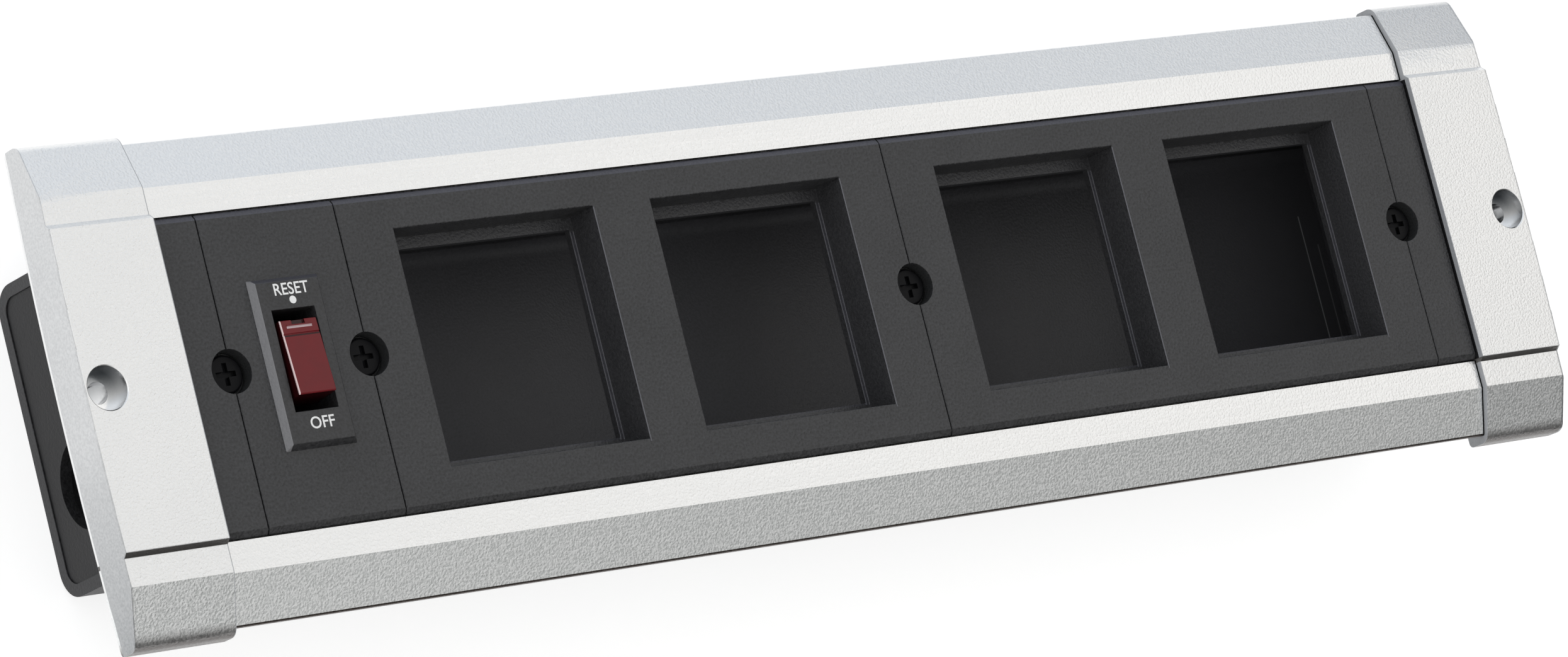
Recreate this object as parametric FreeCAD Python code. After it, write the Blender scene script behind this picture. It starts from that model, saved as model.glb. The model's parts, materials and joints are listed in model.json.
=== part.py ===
import FreeCAD, Part
import math
import os

# In-desk power module: an aluminium frame that lies on a desk, with a plastic case below the cut-out.
# Millimetres. +X runs along the module, +Y towards the reset side, +Z up out of the face.
# The origin is at mid-length, on the centre line, on the flange underside that lies on the desk.

Vector = FreeCAD.Vector

# Lengths of the fascia pieces along X, left to right
filler_left_length = 9.6
breaker_plate_length = 29.7
window_plate_length = 126.7
filler_right_length = 10.3
seam_gap = 0.16
seam_chamfer = 0.22

# Heights above the desk
face_height = 8.9
rail_height = 8.2
cap_facet_height = 9.35
cap_height = 10.5

# Rail section
rail_flat_width = 5.75
rail_slope_width = 9.2
rail_slope_drop = 3.2
rail_nose_height = 1.1
rail_nose_radius = 0.5
rail_undercut = 3.4
rail_wall = 2.0
ledge_reach = 4.65
lower_ledge_thickness = 2.4
bar_slot_height = 2.4
skirt_depth = 7.0

# End caps
cap_length = 22.2
cap_overhang = 1.5
cap_slope_drop = 4.1
cap_edge_radius = 2.5
cap_foot_radius = 1.0
cap_raised_margin = 0.35
cap_step_slope = 0.95
cap_bow = 1.0
cap_end_lean = 0.3
cap_end_lean_height = 2.2
cap_arris_radius = 0.25
tongue_length = 12.0
tongue_clearance = 0.12
fixing_hole_diameter = 4.2
fixing_hole_inset = 4.7
counterbore_diameter = 8.1
counterbore_depth = 3.8
counterbore_chamfer = 0.2

# Fascia plates
plate_thickness = 2.5
plate_side_gap = 0.25
plate_chamfer_width = 1.1
plate_chamfer_drop = 0.85
fascia_offset = 0.4

# Windows in the fascia
window_size = 45.0
window_margin = 11.7
window_border = 7.35
window_wall = 1.5
window_depth = 8.0
window_sill = 1.6
sill_side_reach = 0.8
sill_end_reach = 2.3
window_arris = 0.15

# Screws on the seams and the bars that they pull on
screw_recess_diameter = 8.3
screw_recess_depth = 3.3
screw_boss_wall = 1.1
plate_screw_head_diameter = 7.3
plate_screw_head_height = 1.2
plate_screw_crown = 0.5
plate_screw_diameter = 3.5
plate_screw_length = 4.2
driver_slot_width = 1.0
driver_slot_length = 4.2
driver_slot_depth = 0.9
bar_width = 14.0
bar_clearance = 0.05
thread_clearance = 0.02
hole_clearance = 0.2

# Resettable breaker in its plate
bezel_width = 15.35
bezel_length = 31.8
bezel_height = 1.5
bezel_bevel = 0.95
breaker_body_width = 13.3
breaker_body_length = 27.0
breaker_body_depth = 30.0
breaker_wall = 2.0
breaker_cutout_gap = 0.12
breaker_well_length = 18.9
breaker_well_depth = 9.0
breaker_well_offset = 0.3
breaker_chamber_end_wall = 1.6
breaker_base_thickness = 2.5
breaker_base_gap = 0.06

# Rocker of the breaker: its top leans this much at rest, reset end down
rocker_length = 14.0
rocker_side_gap = 0.7
rocker_rise = 4.1
rocker_tilt = 4.4
rocker_reach_down = 3.6
rocker_corner_radius = 0.3
rocker_reset_length = 2.7
rocker_crease_width = 0.25
rocker_crease_depth = 0.15
rocker_notch_width = 2.8
rocker_notch_depth = 0.5
rocker_ridge_length = 5.4
rocker_ridge_width = 0.35
rocker_ridge_height = 0.2
rocker_ridge_inset = 1.1
rocker_cam_width = 3.0
rocker_cam_reach = 8.2
rocker_cam_length = 2.2
pivot_depth = 3.0
pivot_pin_diameter = 2.0
pivot_clearance = 0.04

# Breaker terminals and contact blade
blade_width = 6.3
blade_thickness = 0.8
blade_reach_out = 8.5
blade_reach_in = 7.0
blade_spread = 15.0
contact_strip_width = 4.5
contact_strip_thickness = 0.5
contact_height = 1.2
contact_diameter = 3.0
contact_foot_margin = 0.5
contact_shelf_length = 2.8

# Rear case
case_overreach = 8.0
case_side_gap = 0.45
blade_floor_gap = 3.0
case_wall = 2.4
case_corner_radius = 5.5
case_end_recess = 0.3
case_groove_depth = 1.0
case_groove_gap = 0.06
case_boss_width = 9.0
case_boss_thickness = 3.0
case_boss_height = 8.0
cable_hole_diameter = 17.0
cable_hole_offset = -10.7
cable_hole_height = 15.2

# Screws through the rail skirts into the case
case_screw_diameter = 3.0
case_screw_head_diameter = 5.4
case_screw_head_height = 1.8
case_screw_crown = 0.6
case_screw_drop = 3.6
case_screw_tip = 0.6

# Small countersunk screws that lock the cap tongues in the rails
cap_screw_diameter = 3.0
cap_screw_head_diameter = 5.4
cap_screw_inset = 6.0
cap_screw_tip = 0.4

# Terminal block on the floor of the case
terminal_poles = 3
terminal_pitch = 8.0
terminal_block_width = 16.0
terminal_block_height = 13.0
terminal_breaker_gap = 1.2
terminal_block_side_gap = 1.2
terminal_pad_height = 2.0
terminal_pad_margin = 1.0
clamp_width = 5.4
clamp_height = 8.0
clamp_wall = 1.0
clamp_clearance = 0.05
wire_hole_diameter = 3.6
terminal_screw_diameter = 3.0
terminal_screw_length = 5.0
terminal_screw_rise = 1.5
terminal_slot_width = 0.6
terminal_slot_depth = 0.8
block_screw_diameter = 2.4
block_screw_head_diameter = 4.4
block_screw_head_height = 1.5
block_screw_bite = 3.6

# Earth tab under the second bar
earth_ledge_gap = 3.3
earth_tab_thickness = 0.8
earth_tab_pad = 9.0
earth_tab_drop = 9.0
earth_screw_diameter = 4.0
earth_screw_head_diameter = 7.0
earth_screw_head_height = 2.2

# Distance below which two places count as the same one
same_place = 0.01

# Places worked out from the sizes above
rail_length = filler_left_length + breaker_plate_length + 2 * window_plate_length + filler_right_length
rail_end = rail_length / 2
seam_a = -rail_end + filler_left_length
seam_b = seam_a + breaker_plate_length
seam_c = seam_b + window_plate_length
seam_d = seam_c + window_plate_length
seams = (seam_a, seam_b, seam_c, seam_d)
rail_inner = window_size / 2 + window_border
rail_break = rail_inner + rail_flat_width
rail_outer = rail_break + rail_slope_width
cap_half_width = rail_outer + cap_overhang
cap_raised_edge = rail_inner - cap_raised_margin
plate_edge = rail_inner - plate_side_gap
plate_bottom = face_height - plate_thickness
bar_slot_top = lower_ledge_thickness + bar_slot_height
bar_top = bar_slot_top - bar_clearance
bar_bottom = lower_ledge_thickness + bar_clearance
recess_floor = face_height - screw_recess_depth
cap_end = rail_end + cap_length
breaker_x = (seam_a + seam_b) / 2
breaker_y = fascia_offset
rocker_y = breaker_y + breaker_well_offset
bezel_top = face_height + bezel_height
breaker_bottom = face_height - breaker_body_depth
pivot_z = bezel_top - pivot_depth
breaker_chamber_top = bezel_top - breaker_well_depth
case_edge = rail_inner - case_side_gap
case_inner = case_edge - case_wall
case_floor = breaker_bottom - blade_reach_out - blade_floor_gap
case_bottom = case_floor - case_wall
case_end = rail_end + case_overreach
blade_top = breaker_bottom + breaker_base_thickness + blade_reach_in
earth_y = rail_inner - ledge_reach - earth_ledge_gap - earth_tab_pad / 2


def box(x0, x1, y0, y1, z0, z1):
    """A block between two corners."""
    return Part.makeBox(x1 - x0, y1 - y0, z1 - z0, Vector(x0, y0, z0))


def block(x, y, width, length, z0, z1):
    """A block centred on a place, its width along X and its length along Y."""
    return box(x - width / 2, x + width / 2, y - length / 2, y + length / 2, z0, z1)


def upright(x, y, z0, z1, diameter):
    """A round bar along Z."""
    return Part.makeCylinder(diameter / 2, z1 - z0, Vector(x, y, z0), Vector(0, 0, 1))


def across(x, z, y0, y1, diameter):
    """A round bar along Y."""
    return Part.makeCylinder(diameter / 2, abs(y1 - y0), Vector(x, y0, z), Vector(0, y1 - y0, 0))


def lengthwise(x0, x1, y, z, diameter):
    """A round bar along X."""
    return Part.makeCylinder(diameter / 2, x1 - x0, Vector(x0, y, z), Vector(1, 0, 0))


def prism(section, x0, x1):
    """A section given as (y, z) points, drawn out along X."""
    points = [Vector(x0, y, z) for y, z in section]
    face = Part.Face(Part.makePolygon(points + points[:1]))
    return face.extrude(Vector(x1 - x0, 0, 0))


def tapered(x, y, sizes0, z0, sizes1, z1):
    """A centred block whose four sides lean between its lower and its upper sizes along X and Y."""
    wires = []
    for (width, length), z in ((sizes0, z0), (sizes1, z1)):
        corners = [(-width, -length), (width, -length), (width, length), (-width, length)]
        points = [Vector(x + dx / 2, y + dy / 2, z) for dx, dy in corners]
        wires.append(Part.makePolygon(points + points[:1]))
    return Part.makeLoft(wires, True, True)


def cone(x, y, z0, z1, diameter0, diameter1):
    """A cone along Z."""
    return Part.makeCone(diameter0 / 2, diameter1 / 2, z1 - z0, Vector(x, y, z0), Vector(0, 0, 1))


def edges_along_x(shape, places):
    """The edges that run along X through the given (y, z) places."""
    found = []
    for edge in shape.Edges:
        ends = [vertex.Point for vertex in edge.Vertexes]
        if len(ends) < 2 or abs(ends[0].x - ends[-1].x) < same_place:
            continue
        for y, z in places:
            if all(math.hypot(end.y - y, end.z - z) < same_place for end in ends):
                found.append(edge)
    return found


def inset(section, distance):
    """A convex (y, z) section with every side moved inwards."""
    count = len(section)
    lines = []
    for i in range(count):
        (y0, z0), (y1, z1) = section[i], section[(i + 1) % count]
        length = math.hypot(y1 - y0, z1 - z0)
        ny, nz = -(z1 - z0) / length, (y1 - y0) / length
        lines.append((ny, nz, ny * y0 + nz * z0 + distance))
    corners = []
    for i in range(count):
        a0, b0, c0 = lines[i - 1]
        a1, b1, c1 = lines[i]
        turn = a0 * b1 - a1 * b0
        corners.append(((c0 * b1 - c1 * b0) / turn, (a0 * c1 - a1 * c0) / turn))
    return corners


def mirrored_y(shape):
    """The same shape on the other side of the centre line."""
    return shape.mirror(Vector(0, 0, 0), Vector(0, 1, 0))


def mirrored_x(shape):
    """The same shape at the other end."""
    return shape.mirror(Vector(0, 0, 0), Vector(1, 0, 0))


def cut_all(shape, tools):
    """The shape with every tool taken out."""
    for tool in tools:
        shape = shape.cut(tool)
    return shape


def fuse_all(shapes):
    """One solid from several that touch."""
    whole = shapes[0]
    for shape in shapes[1:]:
        whole = whole.fuse(shape)
    return whole.removeSplitter()


# Rails

def rail_outline():
    """Outer outline of the flange of the +Y rail, anticlockwise."""
    nose_top = rail_height - rail_slope_drop
    nose_bottom = nose_top - rail_nose_height
    return [(rail_inner, 0), (rail_outer - rail_undercut, 0), (rail_outer, nose_bottom),
            (rail_outer, nose_top), (rail_break, rail_height), (rail_inner, rail_height)]


def chamber_outline(margin):
    """Outline of the hollow in the flange: the outer one without its blunt nose, moved in by the margin."""
    foot, nose_bottom, nose_top, top = rail_outline()[1:5]
    rise = (nose_bottom[1] - foot[1]) / (nose_bottom[0] - foot[0])
    fall = (nose_top[1] - top[1]) / (nose_top[0] - top[0])
    reach = (nose_top[1] - nose_bottom[1]) / (rise - fall)
    tip = (nose_bottom[0] + reach, nose_bottom[1] + rise * reach)
    return inset([(rail_inner, 0), foot, tip, top, (rail_inner, rail_height)], margin)


def rail_tongue_place():
    """Middle of the rail chamber across Y, where the locking screws stand."""
    chamber = chamber_outline(rail_wall)
    return (chamber[0][0] + chamber[1][0]) / 2


def rail():
    """The +Y rail: hollow flange, two ledges with the bar slot between them, and the skirt."""
    flange = prism(rail_outline(), -rail_end, rail_end)
    nose_top = rail_height - rail_slope_drop
    nose = edges_along_x(flange, [(rail_outer, nose_top), (rail_outer, nose_top - rail_nose_height)])
    flange = flange.makeFillet(rail_nose_radius, nose)
    ledge_edge = rail_inner - ledge_reach
    lower_ledge = box(-rail_end, rail_end, ledge_edge, rail_inner, 0, lower_ledge_thickness)
    upper_ledge = box(-rail_end, rail_end, ledge_edge, rail_inner, bar_slot_top, plate_bottom)
    skirt = box(-rail_end, rail_end, rail_inner, rail_inner + rail_wall, -skirt_depth, 0)
    chamber = prism(chamber_outline(rail_wall), -rail_end, rail_end)
    body = fuse_all([flange, lower_ledge, upper_ledge, skirt]).cut(chamber)
    case_hole = case_screw_diameter + hole_clearance
    cap_hole = cap_screw_diameter + hole_clearance
    cap_sink = cap_screw_head_diameter + hole_clearance
    holes = [across(x, -case_screw_drop, rail_inner, rail_inner + rail_wall, case_hole) for x in seams]
    holes += [cap_screw(side, cap_hole, cap_sink) for side in (-1, 1)]
    return cut_all(body, holes)


def cap_screw_shank(side, diameter):
    """Round stretch of a locking screw, up into the cap tongue, or with a larger size its hole."""
    tongue_top = max(point[1] for point in chamber_outline(rail_wall + tongue_clearance))
    x = side * (rail_end - cap_screw_inset)
    return upright(x, rail_tongue_place(), 0, tongue_top - cap_screw_tip, diameter)


def cap_screw(side, shank, head):
    """One countersunk screw, or with larger sizes its hole, from below into a cap tongue."""
    x = side * (rail_end - cap_screw_inset)
    sink = cone(x, rail_tongue_place(), 0, (head - shank) / 2, head, shank)
    return sink.fuse(cap_screw_shank(side, shank)).removeSplitter()


def cap_screws():
    """The four screws that lock the two caps to the two rails."""
    one_side = [cap_screw(side, cap_screw_diameter, cap_screw_head_diameter) for side in (-1, 1)]
    return Part.makeCompound(one_side + [mirrored_y(screw) for screw in one_side])


# End caps

def cap_outline():
    """Section of a cap: foot, rounded edges, slopes, flats and the raised middle."""
    shoulder = cap_facet_height - cap_slope_drop
    step_foot = cap_raised_edge + cap_step_slope
    right = [(cap_half_width, 0), (cap_half_width, shoulder), (rail_break, cap_facet_height),
             (step_foot, cap_facet_height), (cap_raised_edge, cap_height)]
    return right + [(-y, z) for y, z in reversed(right)]


def bowed_end():
    """A round slab whose edge is the gently bowed outer end, leaning in below."""
    radius = (cap_half_width ** 2 + cap_bow ** 2) / (2 * cap_bow)
    centre = cap_end - radius
    foot = radius - cap_end_lean
    points = [(0, 0), (foot, 0), (radius, cap_end_lean_height), (radius, cap_height), (0, cap_height)]
    section = [Vector(centre + r, 0, z) for r, z in points]
    face = Part.Face(Part.makePolygon(section + section[:1]))
    sweep = math.degrees(math.asin((cap_half_width + cap_edge_radius) / radius))
    wedge = face.revolve(Vector(centre, 0, 0), Vector(0, 0, 1), sweep)
    return wedge.fuse(mirrored_y(wedge)).removeSplitter()


def end_cap():
    """The +X cap, solid, with two tongues that plug into the rails and one counterbored fixing hole."""
    half = cap_half_width
    blank = prism(cap_outline(), rail_end, cap_end)
    shoulder = cap_facet_height - cap_slope_drop
    blank = blank.makeFillet(cap_edge_radius, edges_along_x(blank, [(half, shoulder), (-half, shoulder)]))
    blank = blank.makeFillet(cap_foot_radius, edges_along_x(blank, [(half, 0), (-half, 0)]))
    body = blank.common(bowed_end())
    body = body.makeFillet(cap_arris_radius, cap_top_arris(body))
    tongue = prism(chamber_outline(rail_wall + tongue_clearance), rail_end - tongue_length, rail_end)
    body = fuse_all([body, tongue, mirrored_y(tongue)])
    screw_hole = cap_screw_shank(1, cap_screw_diameter + 2 * thread_clearance)
    return cut_all(body, [fixing_hole(), screw_hole, mirrored_y(screw_hole)])


def cap_top_arris(body):
    """The upper edges of the outer end face."""
    found = []
    lowest = cap_facet_height - cap_slope_drop + cap_edge_radius / 2
    for edge in body.Edges:
        ends = [edge.valueAt(edge.FirstParameter), edge.valueAt(edge.LastParameter)]
        outer = min(end.x for end in ends) > cap_end - 2 * cap_bow
        if outer and min(end.z for end in ends) > lowest:
            found.append(edge)
    return found


def fixing_hole():
    """Through hole, counterbore and small rim chamfer of a cap's desk screw."""
    x = cap_end - fixing_hole_inset
    through = upright(x, 0, 0, cap_height, fixing_hole_diameter)
    sink = upright(x, 0, cap_height - counterbore_depth, cap_height, counterbore_diameter)
    rim_diameter = counterbore_diameter + 2 * counterbore_chamfer
    rim = cone(x, 0, cap_height - counterbore_chamfer, cap_height, counterbore_diameter, rim_diameter)
    return through.fuse(sink).fuse(rim)


# Fascia plates

def plate_section():
    """Section of every fascia plate: chamfered along both long edges."""
    inner = plate_edge - plate_chamfer_width
    shoulder = face_height - plate_chamfer_drop
    right = [(plate_edge, plate_bottom), (plate_edge, shoulder), (inner, face_height)]
    return right + [(-y, z) for y, z in reversed(right)]


def seam_recess(x):
    """Round recess and screw hole that two plates share on their seam."""
    recess = upright(x, fascia_offset, recess_floor, face_height, screw_recess_diameter)
    hole = upright(x, fascia_offset, bar_top, face_height, plate_screw_diameter + hole_clearance)
    return recess.fuse(hole)


def seam_boss(x):
    """Round boss under the recess, down to the bar."""
    return upright(x, fascia_offset, bar_top, plate_bottom, screw_recess_diameter + 2 * screw_boss_wall)


def plate_blank(x0, x1, seam_list):
    """A fascia plate between two ends, with its halves of the screw recesses."""
    left = x0 + seam_gap / 2
    right = x1 - seam_gap / 2
    plate = prism(plate_section(), left, right)
    room = box(left, right, -plate_edge, plate_edge, bar_top, face_height)
    for x in seam_list:
        plate = plate.fuse(seam_boss(x).common(room))
    plate = plate.removeSplitter()
    ends = []
    for edge in plate.Edges:
        points = [vertex.Point for vertex in edge.Vertexes]
        top = all(abs(point.z - face_height) < same_place for point in points)
        if top and abs(points[0].x - points[-1].x) < same_place:
            ends.append(edge)
    plate = plate.makeChamfer(seam_chamfer, ends)
    return cut_all(plate, [seam_recess(x) for x in seam_list])


def window_walls(x):
    """Deep walls around the window centred on x, with the snap-in sill at their foot."""
    foot = face_height - window_depth
    outer_size = window_size + 2 * window_wall
    sill_width = window_size - 2 * sill_side_reach
    sill_length = window_size - 2 * sill_end_reach
    outer = block(x, fascia_offset, outer_size, outer_size, foot - window_sill, plate_bottom)
    sill = block(x, fascia_offset, sill_width, sill_length, foot - window_sill, foot)
    return outer.cut(sill).cut(block(x, fascia_offset, window_size, window_size, foot, plate_bottom))


def window_rim(x):
    """The small chamfer around the upper edge of the window centred on x."""
    low = (window_size, window_size)
    high = (window_size + 2 * window_arris, window_size + 2 * window_arris)
    return tapered(x, fascia_offset, low, face_height - window_arris, high, face_height)


def window_plate(x0):
    """A plate with two square windows."""
    x1 = x0 + window_plate_length
    plate = plate_blank(x0, x1, [x0, x1])
    inset_place = window_margin + window_size / 2
    places = (x0 + inset_place, x1 - inset_place)
    for x in places:
        plate = plate.fuse(window_walls(x))
    plate = plate.removeSplitter()
    for x in places:
        hole = block(x, fascia_offset, window_size, window_size, face_height - window_depth, face_height)
        plate = cut_all(plate, [hole, window_rim(x)])
    return plate


def filler_strip(x0, x1, seam):
    """Narrow end strip between the last seam and a cap."""
    return plate_blank(x0, x1, [seam])


def breaker_plate():
    """The narrow plate with the breaker's cut-out."""
    plate = plate_blank(seam_a, seam_b, [seam_a, seam_b])
    width = breaker_body_width + 2 * breaker_cutout_gap
    length = breaker_body_length + 2 * breaker_cutout_gap
    return plate.cut(block(breaker_x, breaker_y, width, length, bar_top, face_height))


# Seam bars and screws

def cross_bar(x, extra_holes=()):
    """A flat bar that slides in the rail slots and takes a seam screw."""
    half = rail_inner - bar_clearance
    bar = box(x - bar_width / 2, x + bar_width / 2, -half, half, bar_bottom, bar_top)
    hole = upright(x, fascia_offset, bar_bottom, bar_top, plate_screw_diameter + 2 * thread_clearance)
    return cut_all(bar, [hole] + list(extra_holes))


def cross_slot(x, y, top):
    """Cross-shaped driver recess in a screw head."""
    half = driver_slot_length / 2
    thin = driver_slot_width / 2
    one = box(x - half, x + half, y - thin, y + thin, top - driver_slot_depth, top)
    other = box(x - thin, x + thin, y - half, y + half, top - driver_slot_depth, top)
    return one.fuse(other)


def plate_screw(x):
    """A black pan-head screw in a seam recess."""
    top = recess_floor + plate_screw_head_height
    head = upright(x, fascia_offset, recess_floor, top, plate_screw_head_diameter)
    rim = [edge for edge in head.Edges if len(edge.Vertexes) == 1 and edge.Vertexes[0].Z > top - same_place]
    head = head.makeFillet(plate_screw_crown, rim)
    shank = upright(x, fascia_offset, recess_floor - plate_screw_length, recess_floor, plate_screw_diameter)
    return head.fuse(shank).removeSplitter().cut(cross_slot(x, fascia_offset, top))


def plate_screws():
    """The screws on the four seams."""
    return Part.makeCompound([plate_screw(x) for x in seams])


# Breaker

def breaker_housing():
    """Bezel and body of the breaker in one moulding, open below, with the rocker's well through it."""
    foot = (bezel_width, bezel_length)
    crown = (bezel_width - 2 * bezel_bevel, bezel_length - 2 * bezel_bevel)
    bezel = tapered(breaker_x, breaker_y, foot, face_height, crown, bezel_top)
    body = block(breaker_x, breaker_y, breaker_body_width, breaker_body_length, breaker_bottom, face_height)
    inner = breaker_body_width - 2 * breaker_wall
    chamber_length = breaker_body_length - 2 * breaker_chamber_end_wall
    well = block(breaker_x, rocker_y, inner, breaker_well_length, breaker_chamber_top, bezel_top)
    chamber = block(breaker_x, breaker_y, inner, chamber_length, breaker_bottom, breaker_chamber_top)
    half = breaker_body_width / 2
    pin_hole = pivot_bar(half, pivot_pin_diameter + 2 * thread_clearance)
    return cut_all(fuse_all([bezel, body]), [well, chamber, pin_hole])


def pivot_bar(half, diameter):
    """A round bar on the rocker's axis, as long as twice the half length."""
    return lengthwise(breaker_x - half, breaker_x + half, rocker_y, pivot_z, diameter)


def rocker_pin():
    """Steel pin that the rocker turns on."""
    return pivot_bar(breaker_body_width / 2, pivot_pin_diameter)


def breaker_rocker():
    """Rocker in its rest place, drawn level about its pivot and then leaned."""
    half_width = breaker_body_width / 2 - breaker_wall - rocker_side_gap
    half = rocker_length / 2
    low = pivot_z - rocker_reach_down
    top = pivot_z + rocker_rise
    left = breaker_x - half_width
    right = breaker_x + half_width
    body = box(left, right, rocker_y - half, rocker_y + half, low, top)
    corners = [(rocker_y + side * half, z) for side in (-1, 1) for z in (low, top)]
    body = body.makeFillet(rocker_corner_radius, edges_along_x(body, corners))
    end = rocker_y + half
    crease_y = end - rocker_reset_length
    ridge_y = end - rocker_ridge_inset
    notch_foot = top - rocker_notch_depth
    crease = block(breaker_x, crease_y, 2 * half_width, rocker_crease_width, top - rocker_crease_depth, top)
    notch_left = breaker_x - rocker_notch_width / 2
    notch = box(notch_left, notch_left + rocker_notch_width, ridge_y, end, notch_foot, top)
    ridge = block(breaker_x, ridge_y, rocker_ridge_length, rocker_ridge_width, low, top + rocker_ridge_height)
    cam_foot = pivot_z - rocker_cam_reach
    cam = block(breaker_x, rocker_y, rocker_cam_width, rocker_cam_length, cam_foot, low)
    bore = pivot_bar(half_width, pivot_pin_diameter + 2 * pivot_clearance)
    rocker = fuse_all([cut_all(body, [crease, notch]), ridge, cam]).cut(bore)
    rocker.rotate(Vector(breaker_x, rocker_y, pivot_z), Vector(1, 0, 0), -rocker_tilt)
    return rocker


def blade_y(side):
    """Place across Y of the middle of a terminal blade."""
    return breaker_y + side * blade_spread / 2


def breaker_base():
    """Plate that closes the breaker below and holds the two blades."""
    width = breaker_body_width - 2 * (breaker_wall + breaker_base_gap)
    length = breaker_body_length - 2 * (breaker_chamber_end_wall + breaker_base_gap)
    base_top = breaker_bottom + breaker_base_thickness
    plate = block(breaker_x, breaker_y, width, length, breaker_bottom, base_top)
    slots = [blade(side, thread_clearance, 0, 0) for side in (-1, 1)]
    return cut_all(plate, slots)


def blade(side, margin, above, below):
    """A flat terminal blade across the base, or with a margin its slot."""
    width = blade_width + 2 * margin
    thickness = blade_thickness + 2 * margin
    top = breaker_bottom + breaker_base_thickness + above
    return block(breaker_x, blade_y(side), width, thickness, breaker_bottom - below, top)


def line_terminal():
    """Blade with the fixed contact on a foot at its upper end."""
    y = blade_y(-1)
    stem = blade(-1, 0, blade_reach_in, blade_reach_out)
    reach = contact_diameter / 2 + contact_foot_margin
    foot = box(breaker_x - reach, breaker_x + reach, y, y + 2 * reach, blade_top - blade_thickness, blade_top)
    contact = upright(breaker_x, y + reach, blade_top, blade_top + contact_height, contact_diameter)
    return fuse_all([stem, foot, contact])


def load_terminal():
    """Blade that carries the contact strip on its top."""
    y = blade_y(1)
    stem = blade(1, 0, blade_reach_in + contact_height - blade_thickness, blade_reach_out)
    top = blade_top + contact_height
    back = y + blade_thickness / 2
    shelf = box(breaker_x - contact_strip_width / 2, breaker_x + contact_strip_width / 2,
                back - contact_shelf_length, back, top - blade_thickness, top)
    return fuse_all([stem, shelf])


def bimetal_strip():
    """Contact strip from the load blade across to the fixed contact."""
    z = blade_top + contact_height
    return box(breaker_x - contact_strip_width / 2, breaker_x + contact_strip_width / 2, blade_y(-1),
               blade_y(1) + blade_thickness / 2, z, z + contact_strip_thickness)


# Rear case

def tub_section(margin):
    """Solid U outline of the case with round lower corners, moved in by the margin."""
    half = case_edge - margin
    bottom = case_bottom + margin
    radius = case_corner_radius - margin
    solid = box(-case_end, case_end, -half, half, bottom, 0)
    return solid.makeFillet(radius, edges_along_x(solid, [(half, bottom), (-half, bottom)]))


def end_place(side, depth):
    """A place along X measured inwards from one end of the case."""
    return side * (case_end - depth)


def end_slab(side, margin, gap):
    """The slab that a case end fills, with the gap added to its thickness."""
    face = end_place(side, case_end_recess - gap)
    back = end_place(side, case_end_recess + case_wall + gap)
    half = case_edge
    room = box(min(face, back), max(face, back), -half, half, case_bottom, 0)
    return tub_section(margin).common(room)


def terminal_block_place():
    """Low corner of the terminal block along X and Y."""
    x = breaker_x - breaker_body_width / 2 - terminal_breaker_gap - terminal_block_width
    y = case_inner - terminal_block_side_gap - terminal_poles * terminal_pitch
    return x, y


def rear_case():
    """Open tub with grooves for its two ends, screw bosses under the seams and a pad for the terminals."""
    tub = tub_section(0).cut(tub_section(case_wall))
    parts = [tub]
    for x in seams:
        for side in (-1, 1):
            y0 = side * case_inner
            y1 = side * (case_inner - case_boss_thickness)
            parts.append(box(x - case_boss_width / 2, x + case_boss_width / 2, min(y0, y1), max(y0, y1),
                             -case_boss_height, 0))
    x, y = terminal_block_place()
    parts.append(box(x - terminal_pad_margin, x + terminal_block_width + terminal_pad_margin,
                     y - terminal_pad_margin, case_inner, case_floor, case_floor + terminal_pad_height))
    body = fuse_all(parts)
    groove_margin = case_wall - case_groove_depth
    tools = [end_slab(side, groove_margin, case_groove_gap) for side in (-1, 1)]
    for x in seams:
        for side in (-1, 1):
            y0 = side * case_edge
            y1 = side * (case_inner - case_boss_thickness)
            tools.append(across(x, -case_screw_drop, y0, y1, case_screw_diameter + 2 * thread_clearance))
    pilot_top = case_floor + terminal_pad_height
    for place in block_screw_places():
        tools.append(upright(place[0], place[1], pilot_top - block_screw_bite, pilot_top,
                             block_screw_diameter + 2 * thread_clearance))
    return cut_all(body, tools)


def case_end_plate(side):
    """One end of the case, slid into the grooves."""
    return end_slab(side, case_wall - case_groove_depth + case_groove_gap, 0)


def case_end_left():
    """The end with the round hole for the supply cable."""
    hole = lengthwise(-case_end, -case_end + case_wall + 2 * case_end_recess, cable_hole_offset,
                      case_bottom + cable_hole_height, cable_hole_diameter)
    return case_end_plate(-1).cut(hole)


def case_screw(x):
    """A pan-head screw through the skirt of the +Y rail into the case."""
    seat = rail_inner + rail_wall
    tip = case_inner - case_boss_thickness + case_screw_tip
    head = across(x, -case_screw_drop, seat, seat + case_screw_head_height, case_screw_head_diameter)
    rim = [edge for edge in head.Edges if len(edge.Vertexes) == 1 and edge.Vertexes[0].Y > seat + same_place]
    head = head.makeFillet(case_screw_crown, rim)
    shank = across(x, -case_screw_drop, tip, seat, case_screw_diameter)
    return head.fuse(shank).removeSplitter()


def case_screws():
    """All screws between the rail skirts and the case."""
    one_side = [case_screw(x) for x in seams]
    return Part.makeCompound(one_side + [mirrored_y(screw) for screw in one_side])


# Terminal block

def pole_places():
    """Middle of every pole along X and Y."""
    x, y = terminal_block_place()
    return [(x + terminal_block_width / 2, y + (i + 0.5) * terminal_pitch) for i in range(terminal_poles)]


def block_screw_places():
    """Middle of the fixing screws, between the poles."""
    x, y = terminal_block_place()
    return [(x + terminal_block_width / 2, y + i * terminal_pitch) for i in range(1, terminal_poles)]


def block_base():
    """Height of the terminal block's underside."""
    return case_floor + terminal_pad_height


def clamp_base():
    """Height of the underside of the brass clamps."""
    return block_base() + (terminal_block_height - clamp_height) / 2


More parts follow.
